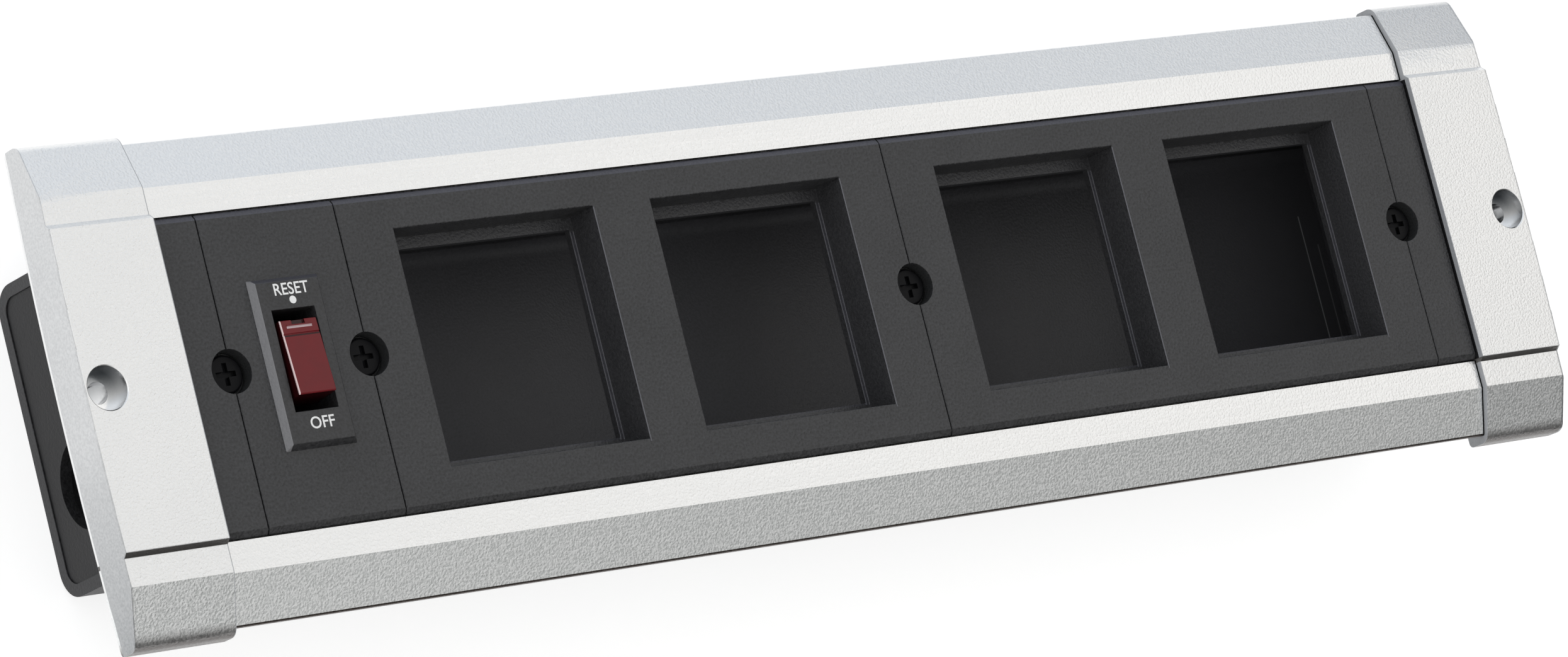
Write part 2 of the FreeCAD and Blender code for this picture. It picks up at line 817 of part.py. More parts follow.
def terminal_block():
    """Moulded strip with a pocket for each clamp, wire holes along X and screw holes above."""
    x, y = terminal_block_place()
    z0 = block_base()
    top = z0 + terminal_block_height
    body = box(x, x + terminal_block_width, y, y + terminal_poles * terminal_pitch, z0, top)
    tools = []
    half = clamp_width / 2 + clamp_clearance
    reach = terminal_block_width / 2 - clamp_wall
    screw_hole = terminal_screw_diameter + hole_clearance
    pocket_top = clamp_base() + clamp_height + clamp_clearance
    for px, py in pole_places():
        tools.append(block(px, py, 2 * reach, 2 * half, clamp_base(), pocket_top))
        tools.append(lengthwise(x, x + terminal_block_width, py, wire_height(), wire_hole_diameter))
        tools.append(upright(px, py, clamp_base() + clamp_height, top, screw_hole))
    for px, py in block_screw_places():
        tools.append(upright(px, py, z0, top, block_screw_diameter + hole_clearance))
        seat = top - block_screw_head_height
        tools.append(upright(px, py, seat, top, block_screw_head_diameter + hole_clearance))
    return cut_all(body, tools)


def wire_height():
    """Height of the wire holes."""
    return clamp_base() + clamp_wall + wire_hole_diameter / 2


def terminal_clamps():
    """A brass clamp for each pole, bored for the wire and the screw."""
    clamps = []
    reach = terminal_block_width / 2 - clamp_wall - clamp_clearance
    for px, py in pole_places():
        clamp = block(px, py, 2 * reach, clamp_width, clamp_base(), clamp_base() + clamp_height)
        wire = lengthwise(px - reach, px + reach, py, wire_height(), wire_hole_diameter)
        thread = upright(px, py, wire_height(), clamp_base() + clamp_height,
                         terminal_screw_diameter + 2 * thread_clearance)
        clamps.append(cut_all(clamp, [wire, thread]))
    return Part.makeCompound(clamps)


def terminal_screws():
    """The clamp screws, slotted, just above the wire holes."""
    screws = []
    top = clamp_base() + clamp_height + terminal_screw_rise
    half = terminal_screw_diameter / 2
    thin = terminal_slot_width / 2
    for px, py in pole_places():
        screw = upright(px, py, top - terminal_screw_length, top, terminal_screw_diameter)
        slot = box(px - half, px + half, py - thin, py + thin, top - terminal_slot_depth, top)
        screws.append(screw.cut(slot))
    return Part.makeCompound(screws)


def block_screws():
    """Screws that hold the terminal block on its pad."""
    screws = []
    top = block_base() + terminal_block_height
    seat = top - block_screw_head_height
    tip = block_base() - block_screw_bite + thread_clearance
    for px, py in block_screw_places():
        head = upright(px, py, seat, top, block_screw_head_diameter)
        shank = upright(px, py, tip, seat, block_screw_diameter)
        screws.append(head.fuse(shank).removeSplitter())
    return Part.makeCompound(screws)


# Earth tab

def earth_hole():
    """Threaded hole in the bar for the earth screw."""
    return upright(seam_b, earth_y, bar_bottom, bar_top, earth_screw_diameter + 2 * thread_clearance)


def earth_tab():
    """Brass tab under the bar with a blade bent down."""
    y = earth_y
    half = earth_tab_pad / 2
    pad = box(seam_b - half, seam_b + half, y - half, y + half, bar_bottom - earth_tab_thickness, bar_bottom)
    leg = box(seam_b - blade_width / 2, seam_b + blade_width / 2, y - half, y - half + earth_tab_thickness,
              bar_bottom - earth_tab_drop, bar_bottom)
    tab_bottom = bar_bottom - earth_tab_thickness
    hole = upright(seam_b, y, tab_bottom, bar_bottom, earth_screw_diameter + hole_clearance)
    return fuse_all([pad, leg]).cut(hole)


def earth_screw():
    """Screw that holds the earth tab to the bar."""
    seat = bar_bottom - earth_tab_thickness
    head = upright(seam_b, earth_y, seat - earth_screw_head_height, seat, earth_screw_head_diameter)
    shank = upright(seam_b, earth_y, seat, bar_top, earth_screw_diameter)
    return head.fuse(shank).removeSplitter()


def build():
    """Every piece by its node name."""
    rear = rail()
    cap = end_cap()
    pieces = {
        "rail_rear": rear,
        "rail_front": mirrored_y(rear),
        "end_cap_right": cap,
        "end_cap_left": mirrored_x(cap),
        "cap_screws": cap_screws(),
        "filler_strip_left": filler_strip(-rail_end, seam_a, seam_a),
        "filler_strip_right": filler_strip(seam_d, rail_end, seam_d),
        "breaker_plate": breaker_plate(),
        "window_plate_left": window_plate(seam_b),
        "window_plate_right": window_plate(seam_c),
        "cross_bar_1": cross_bar(seam_a),
        "cross_bar_2": cross_bar(seam_b, [earth_hole()]),
        "cross_bar_3": cross_bar(seam_c),
        "cross_bar_4": cross_bar(seam_d),
        "plate_screws": plate_screws(),
        "breaker_housing": breaker_housing(),
        "breaker_rocker": breaker_rocker(),
        "rocker_pin": rocker_pin(),
        "breaker_base": breaker_base(),
        "line_terminal": line_terminal(),
        "load_terminal": load_terminal(),
        "bimetal_strip": bimetal_strip(),
        "rear_case": rear_case(),
        "case_end_left": case_end_left(),
        "case_end_right": case_end_plate(1),
        "case_screws": case_screws(),
        "terminal_block": terminal_block(),
        "terminal_clamps": terminal_clamps(),
        "terminal_screws": terminal_screws(),
        "block_screws": block_screws(),
        "earth_tab": earth_tab(),
        "earth_screw": earth_screw(),
    }
    return pieces


os.makedirs("parts", exist_ok=True)
for name, shape in build().items():
    solids = shape.Solids
    print(name, "solids", len(solids), "valid", shape.isValid(), "volume", round(shape.Volume, 1))
    shape.exportStep("parts/" + name + ".step")
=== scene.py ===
import json
import math
import bmesh
import bpy
from mathutils import Matrix, Vector


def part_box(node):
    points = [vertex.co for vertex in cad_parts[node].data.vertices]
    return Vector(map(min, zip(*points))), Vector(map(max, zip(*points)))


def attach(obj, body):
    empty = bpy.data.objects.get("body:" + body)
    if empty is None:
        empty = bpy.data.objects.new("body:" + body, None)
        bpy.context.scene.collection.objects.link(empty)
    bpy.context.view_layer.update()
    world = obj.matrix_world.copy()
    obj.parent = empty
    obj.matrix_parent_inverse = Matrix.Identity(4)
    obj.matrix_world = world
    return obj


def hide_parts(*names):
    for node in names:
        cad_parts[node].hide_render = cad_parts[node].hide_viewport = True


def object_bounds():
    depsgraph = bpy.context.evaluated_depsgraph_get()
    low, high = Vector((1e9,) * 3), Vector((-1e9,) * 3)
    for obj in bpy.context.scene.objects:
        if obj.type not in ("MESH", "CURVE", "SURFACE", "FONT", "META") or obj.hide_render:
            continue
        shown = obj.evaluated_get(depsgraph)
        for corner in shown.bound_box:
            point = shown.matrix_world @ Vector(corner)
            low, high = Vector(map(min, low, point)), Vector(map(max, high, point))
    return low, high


# In-desk power module: a silver anodised frame, black fascia plates with four windows, a red rocker.
# Metres. +X runs along the module, +Y towards the reset side, +Z up out of the face.

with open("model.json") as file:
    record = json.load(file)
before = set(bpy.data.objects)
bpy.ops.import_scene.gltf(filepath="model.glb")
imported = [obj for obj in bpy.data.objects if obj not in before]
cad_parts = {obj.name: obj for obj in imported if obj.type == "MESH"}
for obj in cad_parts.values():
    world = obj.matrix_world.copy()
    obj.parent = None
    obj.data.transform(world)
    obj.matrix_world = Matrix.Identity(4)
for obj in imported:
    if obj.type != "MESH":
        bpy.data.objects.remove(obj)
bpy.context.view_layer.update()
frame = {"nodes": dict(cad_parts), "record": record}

MM = 0.001

# Camera, fitted to the window corners, the seams and the edges of the rails
# Angles in degrees, lens and sensor in millimetres
camera_azimuth = -75.83
camera_elevation = 51.44
camera_roll = 64.65
camera_distance = 1.3238
camera_lens = 161.1
camera_sensor = 36
camera_nearest = 0.05
camera_furthest = 20
camera_aim = Vector((-19.0, -4.9, 8.9)) * MM

# Arris widths
rail_arris = 0.15 * MM
cap_arris = 0.15 * MM
plate_arris = 0.10 * MM
bezel_arris = 0.15 * MM
rocker_arris = 0.18 * MM
case_arris = 0.25 * MM
small_arris = 0.06 * MM

# What counts as one point, as an edge and as flat in the shapes from the construction model
merge_reach = 0.001 * MM
sharp_angle = math.radians(25)
flat_angle = math.radians(0.4)

# Near and far corners of the pieces that the places below are worked out from
rail_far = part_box("rail_rear")[1]
cap_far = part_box("end_cap_right")[1]
plate_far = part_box("window_plate_right")[1]
bezel_near, bezel_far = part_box("breaker_housing")
rocker_near, rocker_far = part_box("breaker_rocker")
case_near, case_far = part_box("rear_case")

# Places on the rails where their tone changes, most of them where painted shade begins
slope_inner = rail_far.y - 9.2 * MM
rail_edge = rail_far.y - 0.35 * MM
rail_joint = rail_far.x - 0.38 * MM
rail_inner_side = plate_far.y + 0.35 * MM
rail_inner_foot = 6.5 * MM

# Places on the end caps, whose outer ends bow by the square of the place across
# The right one's sawn end takes in a margin of its top
cap_inner_end = rail_far.x + 0.15 * MM
cap_outer_end = cap_far.x - 0.20 * MM
cap_right_margin = 0.3 * MM
cap_end_bow = 0.467
cap_step_inner = plate_far.y
cap_step_outer = plate_far.y + 0.8 * MM
cap_foot_line = plate_far.z + 0.5 * MM
cap_round_from = cap_far.y - 2.7 * MM
cap_round_to = cap_far.y - 0.3 * MM
cap_sawn_shade = (-46.0 * MM, -8.0 * MM)
fixing_hole_x = cap_far.x - 4.7 * MM
fixing_hole_reach = 4.3 * MM
fixing_hole_top = cap_far.z - 0.15 * MM
fixing_hole_shade = (3.5 * MM, -2.5 * MM)

# Tones of the metal, in pairs where grain or painted shade goes from one to the other, then single tones of
# painted shade and reflection
rail_tones = ((0.805, 0.81, 0.815), (0.915, 0.915, 0.91))
cap_tones = ((0.81, 0.815, 0.82), (0.90, 0.90, 0.895))
coarse_tones = ((0.70, 0.72, 0.715), (0.995, 1.0, 1.0))
sawn_grain_and_shade_tones = ((0.32, 0.33, 0.34), (0.68, 0.685, 0.69))
bore_shade_and_highlight_tones = ((0.16, 0.17, 0.18), (0.92, 0.92, 0.92))
gap_shadow_tone = (0.010, 0.010, 0.011)
rail_nose_shade_tone = (0.07, 0.058, 0.052)
rail_skirt_shade_tone = (0.50, 0.50, 0.50)
cap_side_shade_tone = (0.19, 0.18, 0.175)
cap_step_shade_tone = (0.12, 0.115, 0.11)
cap_inner_reflection_tone = (0.40, 0.41, 0.43)
cap_right_shade_tone = (0.30, 0.30, 0.31)
cap_right_shade_share = 0.20
blasted_depth = 0.035 * MM
blasted_strength = 0.9

# Seams between the fascia plates, and the screw recesses on them, both darkened with painted shade
fascia_pieces = [
    "filler_strip_left",
    "breaker_plate",
    "window_plate_left",
    "window_plate_right",
    "filler_strip_right",
]
seams = []
for left, right in zip(fascia_pieces, fascia_pieces[1:]):
    seams.append((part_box(left)[1].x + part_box(right)[0].x) / 2)
seam_reach = 0.2 * MM
seam_shade_tone = (0.009, 0.009, 0.010)
recess_reach = 4.7 * MM
recess_shade_tone = (0.026, 0.027, 0.028)

# Windows, two in each window plate, with a margin from window to seam and a painted highlight along their
# right rim and sill
window_size = 45.0 * MM
window_margin = 11.7 * MM
window_right_sides = []
for left_seam, right_seam in zip(seams[1:], seams[2:]):
    window_right_sides += [left_seam + window_margin + window_size, right_seam - window_margin]
window_reach = 22.7 * MM
window_wall_top = plate_far.z - 0.30 * MM
window_rim_from = plate_far.z - 0.16 * MM
window_wall_light_tone = (0.050, 0.050, 0.054)
window_wall_light_share = 0.50
highlight_width = 0.16 * MM
highlight_tone = (0.12, 0.12, 0.135)

# Sills in the windows, with painted light, and the chamfer on the plates' reset side, with painted sheen
sill_level = plate_far.z - 8.0 * MM
sill_band = 0.1 * MM
sill_reach = 20.2 * MM
sill_step = 0.80 * MM
sill_light_tone = (0.046, 0.046, 0.054)
plate_chamfer_from = plate_far.y - 1.1 * MM
plate_chamfer_sheen_tone = (0.050, 0.050, 0.064)

# Places on the rocker, which is tilted at rest, so that its crown falls towards the reset side
rocker_x = (rocker_near.x + rocker_far.x) / 2
rocker_left = rocker_near.x + 0.24 * MM
rocker_crown = 11.30 * MM
rocker_fall = 0.0722
rocker_crease = (4.86 * MM, 5.14 * MM)
rocker_ridge = (6.40 * MM, 6.80 * MM)
rocker_ridge_reach = 2.7 * MM
rocker_notch_from = 7.15 * MM
rocker_notch_reach = 1.4 * MM
rocker_off_end = -5.6 * MM
rocker_tones = ((0.120, 0.006, 0.009), (0.172, 0.009, 0.013))
rocker_shade_tone = (0.026, 0.003, 0.004)
rocker_ridge_highlight_tone = (0.55, 0.42, 0.44)
rocker_edge_highlight_tone = (0.80, 0.62, 0.62)

# The chamfers of the bezel on its reset side and its left, with painted sheen and painted light
bezel_chamfer_from = bezel_far.y - 0.95 * MM
bezel_chamfer_sheen_tone = (0.050, 0.050, 0.062)
bezel_left = bezel_near.x + 0.975 * MM
bezel_left_light_tone = (0.21, 0.21, 0.22)

# Places in the case, whose inside has painted light, paler towards both ends
case_floor = case_near.z + 2.7 * MM
case_inner_side = case_far.y - 2.8 * MM
case_inner_end = case_far.x - 2.5 * MM
case_inner_light_tone = (0.10, 0.10, 0.11)
case_inner_light_share = 0.25
case_paler_left = 42.0 * MM
case_paler_left_share = 0.17
case_paler_right = (118.0 * MM, 145.0 * MM)
case_paler_right_share = 0.70

# Two painted highlights, thin lines of light across the case floor that show through the last window:
# place, end and strength
case_floor_highlights = ((151.5 * MM, 12.6 * MM, 0.7), (154.9 * MM, 6.2 * MM, 0.35))
case_highlight_reach = 0.14 * MM
case_highlight_tone = (0.6, 0.6, 0.62)

# Print on the bezel, measured from the middle of the bezel, its weight in units of the font
print_lift = 0.012 * MM
print_weight = 0.010
reset_word_middle = Vector((0.6, 13.48)) * MM
reset_word_size = Vector((7.4, 2.25)) * MM
off_word_middle = Vector((0.52, -11.48)) * MM
off_word_size = Vector((5.2, 2.25)) * MM
dot_middle = Vector((0.43, 11.33)) * MM
dot_size = Vector((1.45, 1.45)) * MM

# Studio
floor_grey = 0.50
floor_gap = 0.05 * MM
floor_reach = 4
floor_glow = 0.72
room_light = (0.88, 0.88, 0.87)
room_cool = (0.84, 0.88, 0.93)
room_shade = (0.12, 0.12, 0.12)
cool_from = 0.30
cool_to = 0.55
bright_side = Vector((-0.83, 0.36, 0.42))
bright_from = -0.607
bright_to = -0.03


# Shader arithmetic

class Value:
    """A socket that Python arithmetic works on, one Math node for each step."""

    def __init__(self, nodes, socket):
        self.nodes = nodes
        self.socket = socket

    def math(self, operation, first, second):
        return self.nodes.add("Math", {"operation": operation}, {0: first, 1: second})

    def __add__(self, other):
        return self.math("ADD", self, other)

    def __sub__(self, other):
        return self.math("SUBTRACT", self, other)

    def __rsub__(self, other):
        return self.math("SUBTRACT", other, self)

    def __mul__(self, other):
        return self.math("MULTIPLY", self, other)

    def __gt__(self, other):
        return self.math("GREATER_THAN", self, other)

    def __lt__(self, other):
        return self.math("LESS_THAN", self, other)

    __radd__ = __add__
    __rmul__ = __mul__


class Nodes:
    """A node tree that grows node by node."""

    def __init__(self, tree):
        self.tree = tree

    def add(self, kind, settings, inputs, output=0):
        """One node: its settings first, then its sockets, given as values or as other nodes' outputs."""
        node = self.tree.nodes.new("ShaderNode" + kind)
        for name, value in settings.items():
            setattr(node, name, value)
        for name, value in inputs.items():
            if isinstance(value, Value):
                self.tree.links.new(value.socket, node.inputs[name])
            else:
                node.inputs[name].default_value = value
        return Value(self, node.outputs[output])

    def mix(self, share, first, second):
        """A colour between two, each written out or another node's output, in the node's colour sockets."""
        first, second = (end if isinstance(end, Value) else (*end, 1) for end in (first, second))
        return self.add("Mix", {"data_type": "RGBA"}, {0: share, 6: first, 7: second}, 2)

    def spread(self, value, low, high):
        """A value stretched so that low becomes 0 and high becomes 1."""
        return self.add("MapRange", {}, {"Value": value, "From Min": low, "From Max": high})

    def seen(self):
        """One where the eye, a reflection or a clear piece sees the surface, and nothing elsewhere."""
        path = {"direct": "Is Camera Ray", "mirrored": "Is Glossy Ray", "through": "Is Transmission Ray"}
        rays = {name: self.add("LightPath", {}, {}, socket) for name, socket in path.items()}
        return self.add("Clamp", {}, {"Value": rays["direct"] + rays["mirrored"] + rays["through"]})


class Finish(Nodes):
    """A material on the Principled shader, whose tone is laid on first and then painted over in places."""

    def __init__(self, name, colour, roughness, **fixed):
        self.material = bpy.data.materials.new(name)
        self.material.use_nodes = True
        super().__init__(self.material.node_tree)
        self.shader = self.tree.nodes["Principled BSDF"]
        self.shader.inputs["Base Color"].default_value = (*colour, 1)
        self.shader.inputs["Roughness"].default_value = roughness
        for socket, value in fixed.items():
            self.shader.inputs[socket.replace("_", " ")].default_value = value
        self.tone = colour
        self.place = self.add("TexCoord", {}, {}, "Object")

    def feed(self, socket, value):
        self.tree.links.new(value.socket, self.shader.inputs[socket])

    def lay(self, pattern, dark, light):
        """Gives the whole surface a tone between two, as the pattern says."""
        self.tone = self.mix(pattern, dark, light)
        self.feed("Base Color", self.tone)

    def paint(self, share, colour):
        """Covers the tone so far with a colour, as far as the share says."""
        self.lay(share, self.tone, colour)

    def along(self, axis):
        """The place on the piece along the axis X, Y or Z."""
        return self.add("SeparateXYZ", {}, {"Vector": self.place}, axis)

    def size(self, value):
        """A value without its sign."""
        return self.add("Math", {"operation": "ABSOLUTE"}, {0: value})

    def noise(self, scale, detail=2.0, stretch=(1, 1, 1)):
        """Noise over the piece, from about 0 to 1, squeezed by the stretch along each axis."""
        place = self.add("Mapping", {}, {"Vector": self.place, "Scale": stretch})
        return self.add("TexNoise", {}, {"Vector": place, "Scale": scale, "Detail": detail})

    def between(self, value, low, high):
        """One where a value lies between two others, and nothing elsewhere."""
        return (value > low) * (value < high)

    def near(self, value, middle, reach):
        """One where a value lies within reach of a middle, and nothing elsewhere."""
        return self.size(value - middle) < reach

    def disc(self, past, across, reach):
        """One within reach of the middle that both distances are measured from, and nothing elsewhere."""
        return past * past + across * across < reach * reach

    def bump(self, height, distance, strength=1.0):
        bump = self.add("Bump", {}, {"Height": height, "Distance": distance, "Strength": strength})
        self.feed("Normal", bump)


# Finishes

def blasted_grain(finish):
    """The fine grain that blasting leaves on the metal before it is anodised."""
    return finish.spread(finish.noise(scale=2100), 0.35, 0.65)


def extruded_metal():
    """Anodised extrusion, coarse on its OFF slope, with painted shade on its nose, skirt, inner side and
    right end.
    """
    finish = Finish("anodised extrusion", (0.86, 0.86, 0.86), roughness=0.34, Metallic=1.0)
    lines = finish.noise(scale=1.0, detail=3.0, stretch=(14, 2600, 2600))
    grain = blasted_grain(finish)
    cloud = finish.noise(scale=60, stretch=(0.3, 1, 1))
    pattern = grain * 0.6 + lines * 0.2 + cloud * 0.2
    across, height = finish.along("Y"), finish.along("Z")
    finish.lay(pattern, *rail_tones)
    finish.paint(across < -slope_inner, finish.mix(pattern, *coarse_tones))
    # Painted shade: the nose on the OFF side and the skirt below the face are darkened
    finish.paint(across < -rail_edge, rail_nose_shade_tone)
    finish.paint(height < 0, rail_skirt_shade_tone)
    # Painted shadow in the gaps: along the inner sides beside the plates, and at the right end against the
    # cap
    inside = (finish.size(across) < rail_inner_side) * (height > rail_inner_foot)
    joint = finish.along("X") > rail_joint
    finish.paint(inside + joint, gap_shadow_tone)
    finish.feed("Roughness", lines * 0.10 + grain * 0.10 + 0.24)
    finish.bump(grain * 0.8 + lines * 0.2, blasted_depth, blasted_strength)
    return finish


def cap_metal():
    """Anodised end cap: outer end sawn, with painted shade towards the OFF side; inner end matt light grey
    as a painted reflection; painted shade on the step, the OFF side and the right cap's slopes; painted
    shade and highlight in the fixing hole.
    """
    finish = Finish("anodised cap", (0.86, 0.86, 0.86), roughness=0.36, Metallic=1.0)
    speckle = blasted_grain(finish)
    cloud = finish.noise(scale=70)
    pattern = speckle * 0.7 + cloud * 0.3
    across, height = finish.along("Y"), finish.along("Z")
    reach = finish.size(finish.along("X"))
    right = finish.along("X") > 0
    slopes = finish.size(across) > slope_inner
    finish.lay(pattern, *cap_tones)
    finish.paint(across < -slope_inner, finish.mix(pattern, *coarse_tones))
    # Painted shade on the right cap's slopes
    finish.paint(slopes * right * cap_right_shade_share, cap_right_shade_tone)
    # Painted shade on the rounding and side of the OFF side
    finish.paint(finish.spread(across, -cap_round_from, -cap_round_to), cap_side_shade_tone)
    outer = reach + across * across * cap_end_bow + right * cap_right_margin > cap_outer_end
    # The sawn outer end: its grain, with painted shade darker towards the OFF side
    slant = finish.spread(across, *cap_sawn_shade)
    finish.paint(outer, finish.mix(slant * 0.6 + pattern * 0.4, *sawn_grain_and_shade_tones))
    inner = reach < cap_inner_end
    beside_fascia = (finish.size(across) < cap_step_inner) * (height < cap_foot_line)
    # Painted reflection: the inner end is matt light grey, not metal; painted shadow in the gap beside the
    # fascia
    finish.paint(inner, cap_inner_reflection_tone)
    finish.paint(inner * beside_fascia, gap_shadow_tone)
    # Painted shade on the step of the OFF side
    step = finish.between(across, -cap_step_outer, -cap_step_inner) * (1 - outer)
    finish.paint(step, cap_step_shade_tone)
    bore = finish.disc(reach - fixing_hole_x, across, fixing_hole_reach)
    # Painted shade and highlight in the fixing hole: dark towards the reset side, bright towards the OFF
    # side
    bore_shading = finish.mix(finish.spread(across, *fixing_hole_shade), *bore_shade_and_highlight_tones)
    finish.paint(bore * (height < fixing_hole_top), bore_shading)
    finish.feed("Roughness", (speckle * 0.12 + 0.30) * (1 - bore * 0.4))
    finish.feed("Metallic", 1 - inner)
    finish.bump(speckle * (1 - bore), blasted_depth, blasted_strength)
    return finish


def black_moulding(name, colour, roughness, texture, shine=0.5):
    """Black moulding with a fine spark-eroded texture, mottled from about half to twice its colour."""
    finish = Finish(name, colour, roughness, Specular_IOR_Level=shine)
    spark = finish.spread(finish.noise(scale=1900, detail=3.0), 0.3, 0.7)
    cloud = finish.noise(scale=90)
    dark = tuple(level * 0.45 for level in colour)
    light = tuple(level * 2.2 + 0.006 for level in colour)
    finish.lay(spark * 0.7 + cloud * 0.3, dark, light)
    finish.feed("Roughness", spark * 0.16 + (roughness - 0.08))
    finish.bump(spark, texture)
    return finish


def fascia_moulding():
    """The plates' moulding: painted light in the windows, on their sills and on one chamfer, painted
    highlights on the windows' right edges, and painted shade in the seams and recesses.
    """
    finish = black_moulding("fascia moulding", (0.023, 0.023, 0.0245), roughness=0.44, texture=0.06 * MM)
    length, across, height = (finish.along(axis) for axis in "XYZ")
    below = height < window_wall_top
    beside = finish.size(across) < window_reach
    # Painted light on the window walls and insides
    finish.paint(below * beside * window_wall_light_share, window_wall_light_tone)
    # Painted sheen on the chamfer on the reset side
    finish.paint(across > plate_chamfer_from, plate_chamfer_sheen_tone)
    sill = finish.near(height, sill_level, sill_band) * (finish.size(across) < sill_reach)
    # Painted light on the sills
    finish.paint(sill, sill_light_tone)
    rim = (height > window_rim_from) * beside
    # Painted highlights along each window's right rim and at both edges of its right sill
    for side in window_right_sides:
        step = finish.near(length, side - sill_step, highlight_width)
        foot = finish.near(length, side, highlight_width)
        edge = finish.between(length, side, side + highlight_width)
        finish.paint(sill * (step + foot) + rim * edge, highlight_tone)
    for seam in seams:
        # Painted shade in the seams and in the screw recesses
        recess = finish.disc(length - seam, across, recess_reach)
        finish.paint(below * finish.near(length, seam, seam_reach), seam_shade_tone)
        finish.paint(below * recess, recess_shade_tone)
    return finish


def case_moulding():
    """The case's moulding, with painted light inside and two painted highlights across its floor."""
    finish = black_moulding("case moulding", (0.024, 0.024, 0.026), 0.50, texture=0.04 * MM, shine=0.4)
    length, across, height = (finish.along(axis) for axis in "XYZ")
    inside = (finish.size(across) < case_inner_side) * (finish.size(length) < case_inner_end)
    left = (length < case_paler_left) * case_paler_left_share
    right = finish.spread(length, *case_paler_right) * case_paler_right_share
    # Painted light on the inside of the case, stronger towards both ends
    finish.paint(inside * (left + right + case_inner_light_share), case_inner_light_tone)
    # Painted highlights: two thin lines of light across the case floor
    for place, end, strength in case_floor_highlights:
        mark = finish.near(length, place, case_highlight_reach) * (across < end) * (height < case_floor)
        finish.paint(mark * strength, case_highlight_tone)
    return finish


def breaker_moulding():
    """The breaker's moulding, with painted light on the bezel's reset side and left."""
    finish = black_moulding("breaker moulding", (0.018, 0.018, 0.0195), roughness=0.36, texture=0.03 * MM)
    # Painted sheen on the chamfer on the reset side
    finish.paint(finish.along("Y") > bezel_chamfer_from, bezel_chamfer_sheen_tone)
    # Painted light on the bezel's left chamfer
    finish.paint(finish.along("X") < bezel_left, bezel_left_light_tone)
    return finish


def red_moulding():
    """Glossy dark red rocker, with painted highlights on its left edge and ridge, and painted shade in the
    crease and notch and on the sides.
    """
    finish = Finish("red rocker", (0.14, 0.006, 0.010), roughness=0.22, Specular_IOR_Level=0.28)
    cloud = finish.noise(scale=400)
    length, across, height = (finish.along(axis) for axis in "XYZ")
    sideways = finish.size(length - rocker_x)
    left_end = length < rocker_left
    crown = height + across * rocker_fall > rocker_crown
    crease = finish.between(across, *rocker_crease)
    notch = (across > rocker_notch_from) * (sideways < rocker_notch_reach)
    shaded = (1 - crown) * ((across < rocker_off_end) + left_end)
    ridge = finish.between(across, *rocker_ridge) * (sideways < rocker_ridge_reach)
    finish.lay(cloud, *rocker_tones)
    # Painted shade in the crease and notch, and on the sides below the crown
    finish.paint(crease + notch + shaded, rocker_shade_tone)
    # Painted highlight on the ridge
    finish.paint(ridge, rocker_ridge_highlight_tone)
    # Painted highlight along the crown's left edge
    finish.paint(crown * left_end, rocker_edge_highlight_tone)
    finish.feed("Roughness", cloud * 0.12 + 0.16)
    return finish


def plated(name, dark, light, roughness):
    """Plated or plain metal with faint patches."""
    finish = Finish(name, light, roughness, Metallic=1.0)
    cloud = finish.noise(scale=500, detail=3.0)
    finish.lay(cloud, dark, light)
    finish.feed("Roughness", cloud * 0.2 + (roughness - 0.1))
    return finish


def blackened_steel():
    """Black oxide on the fascia screws."""
    finish = Finish("black screw", (0.005, 0.005, 0.006), roughness=0.40, Specular_IOR_Level=0.1)
    cloud = finish.noise(scale=1800, detail=3.0)
    finish.lay(cloud, (0.003, 0.003, 0.004), (0.008, 0.008, 0.009))
    finish.feed("Roughness", cloud * 0.2 + 0.30)
    finish.bump(cloud, 0.01 * MM)
    return finish


def pale_moulding():
    """Natural nylon of the terminal block."""
    finish = Finish("natural nylon", (0.70, 0.68, 0.60), roughness=0.45)
    cloud = finish.noise(scale=300, detail=3.0)
    finish.lay(cloud, (0.66, 0.64, 0.56), (0.76, 0.74, 0.67))
    finish.feed("Roughness", cloud * 0.15 + 0.38)
    return finish


def white_print():
    """Slightly uneven white ink."""
    finish = Finish("white print", (0.88, 0.88, 0.88), roughness=0.5)
    cloud = finish.noise(scale=2400)
    finish.lay(cloud, (0.86, 0.86, 0.85), (0.97, 0.97, 0.97))
    finish.feed("Roughness", cloud * 0.2 + 0.4)
    return finish


finishes = {
    "anodised_rail": extruded_metal(),
    "anodised_cap": cap_metal(),
    "fascia_plastic": fascia_moulding(),
    "breaker_plastic": breaker_moulding(),
    "red_plastic": red_moulding(),
    "case_plastic": case_moulding(),
    "black_steel": blackened_steel(),
    "zinc_steel": plated("zinc plate", (0.56, 0.58, 0.60), (0.74, 0.76, 0.78), 0.34),
    "brass": plated("brass", (0.62, 0.42, 0.16), (0.80, 0.60, 0.28), 0.30),
    "strip_steel": plated("strip steel", (0.48, 0.46, 0.44), (0.62, 0.60, 0.57), 0.36),
    "block_plastic": pale_moulding(),
}
# Painted shade: a darker copy of the case moulding for the case's left end
case_left_shade_finish = black_moulding("shaded case end moulding", (0.012, 0.012, 0.013), 0.50, 0.04 * MM, shine=0.3)
ink = white_print()
slots = {part["node"]: part["material_slot"] for part in frame["record"]["subparts"]}


def finish_of(node):
    """The finish of a node's slot, or the darker copy with painted shade for the case's left end."""
    return case_left_shade_finish if node == "case_end_left" else finishes[slots[node]]


# Pieces made from the construction model

def merged(node, join_flats):
    """A mesh in a node's shape with its seams merged, its flat faces each one piece where asked."""
    shape = bmesh.new()
    shape.from_mesh(frame["nodes"][node].data)
    bmesh.ops.remove_doubles(shape, verts=shape.verts, dist=merge_reach)
    if join_flats:
        bmesh.ops.dissolve_limit(shape, angle_limit=flat_angle, verts=shape.verts, edges=shape.edges)
    mesh = bpy.data.meshes.new("dressed_" + node)
    shape.to_mesh(mesh)
    shape.free()
    mesh.materials.clear()
    mesh.materials.append(finish_of(node).material)
    for polygon in mesh.polygons:
        polygon.use_smooth = True
    mesh.set_sharp_from_angle(angle=sharp_angle)
    return mesh


